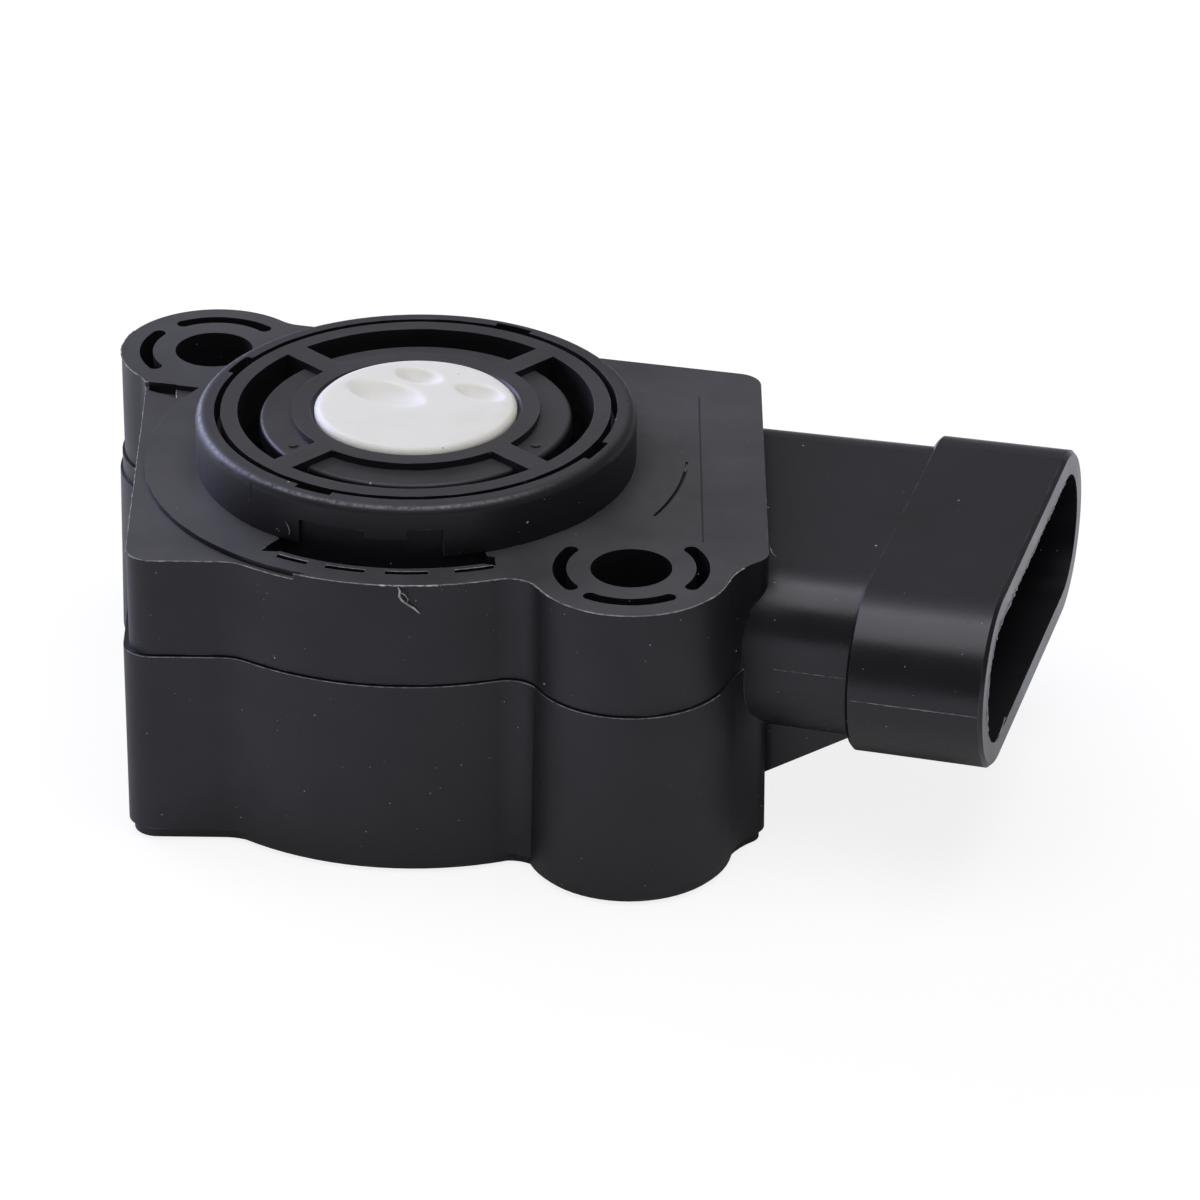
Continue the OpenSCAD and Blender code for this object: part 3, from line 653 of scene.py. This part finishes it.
def on_seam_rim(middle, normal):
    level = abs(middle.z - SEAM_RIM_Z) < SEAM_NEAR
    return level and -normal.y > MOSTLY and middle.x < BESIDE_PLUG_X


MOAT_SLOT_R = 19.25 * MM
MOAT_SLOT_NEAR = 0.08 * MM
MOAT_FRONT_Y = -16 * MM


def on_moat_slot(middle, normal):
    """The long outer edges of the slots on the step before the boss."""
    reach = Vector((middle.x, middle.y)).length
    on_arc = abs(reach - MOAT_SLOT_R) < MOAT_SLOT_NEAR
    return on_arc and middle.y < MOAT_FRONT_Y and -normal.y > MOSTLY


TEAR_X = -0.5 * MM
TEAR_HALF = 2.2 * MM
flash = flash_finish("flash", thick=(0.05, 0.05, 0.06, 1), thin=(0.26, 0.26, 0.28, 1))
pale_flash = flash_finish("pale_flash", thick=(0.20, 0.20, 0.21, 1), thin=(0.50, 0.50, 0.52, 1))
front_rim = rim_edges("cover", on_front_rim)
torn_rim = [rim for rim in front_rim if abs(rim[0].x - TEAR_X) < TEAR_HALF]
ragged_fin("flash_front", front_rim, 0.16 * MM, flash, seed=3)
ragged_fin("flash_left", rim_edges("cover", on_left_rim), 0.08 * MM, flash, seed=37)
ragged_fin("flash_tear", torn_rim, 0.30 * MM, pale_flash, seed=31)
ragged_fin("flash_moat_slots", rim_edges("cover", on_moat_slot), 0.07 * MM, flash, seed=5)
ragged_fin("flash_seam", rim_edges("housing", on_seam_rim), 0.07 * MM, flash, seed=11, gaps=0.12)

# More flash runs along the plug socket's parting line, where the two halves of the mould met, and
# inside the socket's mouth, round the end of the core that shaped it.
PLUG_TURN = math.radians(15)
PLUG_SIDE = 3.71
PLUG_LEVEL = 16.1


def in_plug(along, across, up):
    """A point given along the plug's axis, across it towards the back, and up from the seam."""
    side = PLUG_SIDE + across
    return Vector((
        along * math.cos(PLUG_TURN) + side * math.sin(PLUG_TURN),
        -along * math.sin(PLUG_TURN) + side * math.cos(PLUG_TURN),
        PLUG_LEVEL + up,
    )) * MM


UP = Vector((0, 0, 1))
PLUG_OUT = (in_plug(0, -1, 0) - in_plug(0, 0, 0)).normalized()
PLUG_AHEAD = (in_plug(1, 0, 0) - in_plug(0, 0, 0)).normalized()

# for both ends of the line on the neck and on the shroud: how far along, and half the width there
NECK_LINE = ((31.4, 15.31), (37.3, 15.39))
SHROUD_LINE = ((38.2, 18.62), (47.9, 18.68))
LINE_UP = 0.2
parting = []
for line in (NECK_LINE, SHROUD_LINE):
    start, end = (in_plug(along, -half, LINE_UP) for along, half in line)
    parting.append((start, end, PLUG_OUT, UP))
ragged_fin("flash_parting", parting, 0.09 * MM, flash, seed=17, gaps=-0.25)

MOUTH_AT = 48.3
MOUTH_R = 5.05
MOUTH_HALF = 11.75
ARC_DEGREES = range(90, 300, 6)
LIP_INWARD = 0.5
LIP_AHEAD = 0.4
mouth = [in_plug(MOUTH_AT, MOUTH_HALF, MOUTH_R)]
for degrees in ARC_DEGREES:
    angle = math.radians(degrees)
    mouth.append(in_plug(MOUTH_AT, -MOUTH_HALF + MOUTH_R * math.cos(angle), MOUTH_R * math.sin(angle)))
mouth_middle = in_plug(MOUTH_AT, 0, 0)
lips = []
for start, end in zip(mouth, mouth[1:]):
    inward = (mouth_middle - start).normalized()
    leaning = (inward * LIP_INWARD + PLUG_AHEAD * LIP_AHEAD).normalized()
    lips.append((start, end, leaning, PLUG_AHEAD))
ragged_fin("flash_mouth", lips, 0.15 * MM, pale_flash, seed=23)

# Torn curls and hairs of flash hang at the front edge and lie beside the boss, at the corner and at
# the end of the painted step shade. A tiny fleck of soot lies on the hub and turns with it.
STRAND_SIDES = 5
STRAND_TIP = 0.6
STRAND_ASIDE = Vector((0.3, 1, 0.2))


def strand(name, points, thick, material, body="body"):
    """A thread along points in millimetres, thinner at both ends."""
    tube = bmesh.new()
    last = None
    for i, point in enumerate(points):
        ahead = Vector(points[min(i + 1, len(points) - 1)]) - Vector(points[max(i - 1, 0)])
        across = ahead.cross(STRAND_ASIDE).normalized()
        other = ahead.cross(across).normalized()
        size = thick * (STRAND_TIP if i in (0, len(points) - 1) else 1.0)
        row = []
        for k in range(STRAND_SIDES):
            turn = 2 * math.pi * k / STRAND_SIDES
            aside = (across * math.cos(turn) + other * math.sin(turn)) * size
            row.append(tube.verts.new(Vector(point) * MM + aside))
        if last:
            for k in range(STRAND_SIDES):
                after = (k + 1) % STRAND_SIDES
                tube.faces.new((last[k], last[after], row[after], row[k]))
        else:
            tube.faces.new(row)
        last = row
    tube.faces.new(last)
    add_piece(name, tube, material, body)


CURL_FRONT = [
    (-0.9, -21.5, 24.5), (-0.75, -21.75, 24.25), (-0.8, -21.85, 23.9), (-0.6, -21.8, 23.5),
    (-0.2, -21.7, 23.1), (0.3, -21.64, 22.75), (0.7, -21.6, 22.3)
]
CURL_INNER = [(-0.75, -21.8, 24.2), (-0.35, -21.9, 24.0), (-0.15, -21.8, 23.6), (-0.25, -21.7, 23.2)]
HAIR_BOSS = [(-9.6, -14.25, 26.3), (-9.35, -14.45, 25.9), (-9.25, -14.5, 25.5), (-9.35, -14.45, 25.2)]
HAIR_MOAT = [(-5.3, -17.9, 24.6), (-5.4, -18.0, 24.1), (-5.25, -18.1, 23.7)]
HAIR_CORNER = [(27.05, -14.6, 24.4), (27.3, -15.2, 24.0), (27.6, -15.3, 23.8)]
STEP_END_HAIR = [(20.78, -2.9, 24.62), (20.86, -2.4, 24.64), (20.95, -2.0, 24.62)]
HUB_SPECK = [(2.2, -7.45, 29.04), (2.3, -7.47, 29.04)]

strand("curl_front", CURL_FRONT, 0.08 * MM, pale_flash)
strand("curl_front_inner", CURL_INNER, 0.05 * MM, flash)
strand("hair_boss", HAIR_BOSS, 0.05 * MM, flash)
strand("hair_moat", HAIR_MOAT, 0.04 * MM, flash)
strand("hair_corner", HAIR_CORNER, 0.05 * MM, flash)
strand("step_end_hair", STEP_END_HAIR, 0.07 * MM, flash)
soot = dark_film("soot", dark=(0.01, 0.01, 0.01, 1), light=(0.04, 0.04, 0.04, 1), rough=0.6)
strand("hub_speck", HUB_SPECK, 0.06 * MM, soot, body="rotor")

# Pale dirt has settled on the outside of the shells, mostly on their front. It is small flat flakes,
# most of them finer than a hair, and a few larger crumbs.
FLAKE_TALL = 0.5
FLAKE_LIFT = 0.004 * MM
FLAKE_LONGEST = 3.0
FLAKE_TURN = 6.28


def scatter(name, places, weigh, count, small, large, material, seed):
    """Flakes on the faces of CAD nodes, more of them where weigh(centre, normal) is larger."""
    dice = random.Random(seed)
    spots = []
    weights = []
    for node_name in places:
        solid = nodes[node_name].data
        for face in solid.polygons:
            weight = face.area * weigh(face.center, face.normal)
            if weight > 0:
                spots.append(([solid.vertices[v].co for v in face.vertices], face.normal))
                weights.append(weight)
    flakes = bmesh.new()
    for corners, normal in dice.choices(spots, weights, k=count):
        a, b = dice.random(), dice.random()
        if a + b > 1:
            a, b = 1 - a, 1 - b
        at = corners[0] + (corners[1] - corners[0]) * a + (corners[2] - corners[0]) * b
        across = normal.orthogonal().normalized()
        other = normal.cross(across)
        size = dice.uniform(small, large)
        longer = dice.uniform(1.0, FLAKE_LONGEST)
        if at.y < cad_box[0][1] + 2 * large or at.x > cad_box[1][0] - 2 * large:
            continue
        tip = flakes.verts.new(at + normal * size * FLAKE_TALL)
        rim = []
        turn = dice.uniform(0, FLAKE_TURN)
        for k in range(4):
            angle = turn + k * math.pi / 2
            push = across * math.cos(angle) * longer + other * math.sin(angle)
            rim.append(flakes.verts.new(at + push * size / 2 + normal * FLAKE_LIFT))
        for k in range(4):
            flakes.faces.new((rim[k], rim[(k + 1) % 4], tip))
        flakes.faces.new(rim)
    add_piece(name, flakes, material)


DIRT_DARK = (0.06, 0.06, 0.06, 1)
DIRT_PALE = (0.60, 0.59, 0.57, 1)


def dirt_finish(name):
    material, tree, place, shader = finish_of(name)
    tone = blend(tree, noise(tree, place, 900, detail=2), DIRT_DARK, DIRT_PALE)
    tree.links.new(tone, shader.inputs["Base Color"])
    shader.inputs["Roughness"].default_value = 0.8
    return material


HOLE_CLEAR_R = 4 * MM
FRONT_Z = 1 * MM
FRONT_FACING = 0.4
TOP_Z = 22 * MM
TOP_FACING = 0.8
TOP_SHARE = 0.35


def mostly_front(centre, normal):
    """1 on the front walls, less on the tops, and 0 in the front bolt hole and elsewhere."""
    if (Vector((centre.x, centre.y, 0)) - EAR_AT).length < HOLE_CLEAR_R:
        return 0.0
    if -normal.y > FRONT_FACING and centre.z > FRONT_Z:
        return 1.0
    return TOP_SHARE if normal.z > TOP_FACING and centre.z > TOP_Z else 0.0


dirt = dirt_finish("dirt")
shells = ("cover", "housing")
scatter("dirt_specks", shells, mostly_front, 300, 0.03 * MM, 0.085 * MM, dirt, seed=7)
scatter("dirt_crumbs", shells, mostly_front, 16, 0.13 * MM, 0.22 * MM, dirt, seed=19)
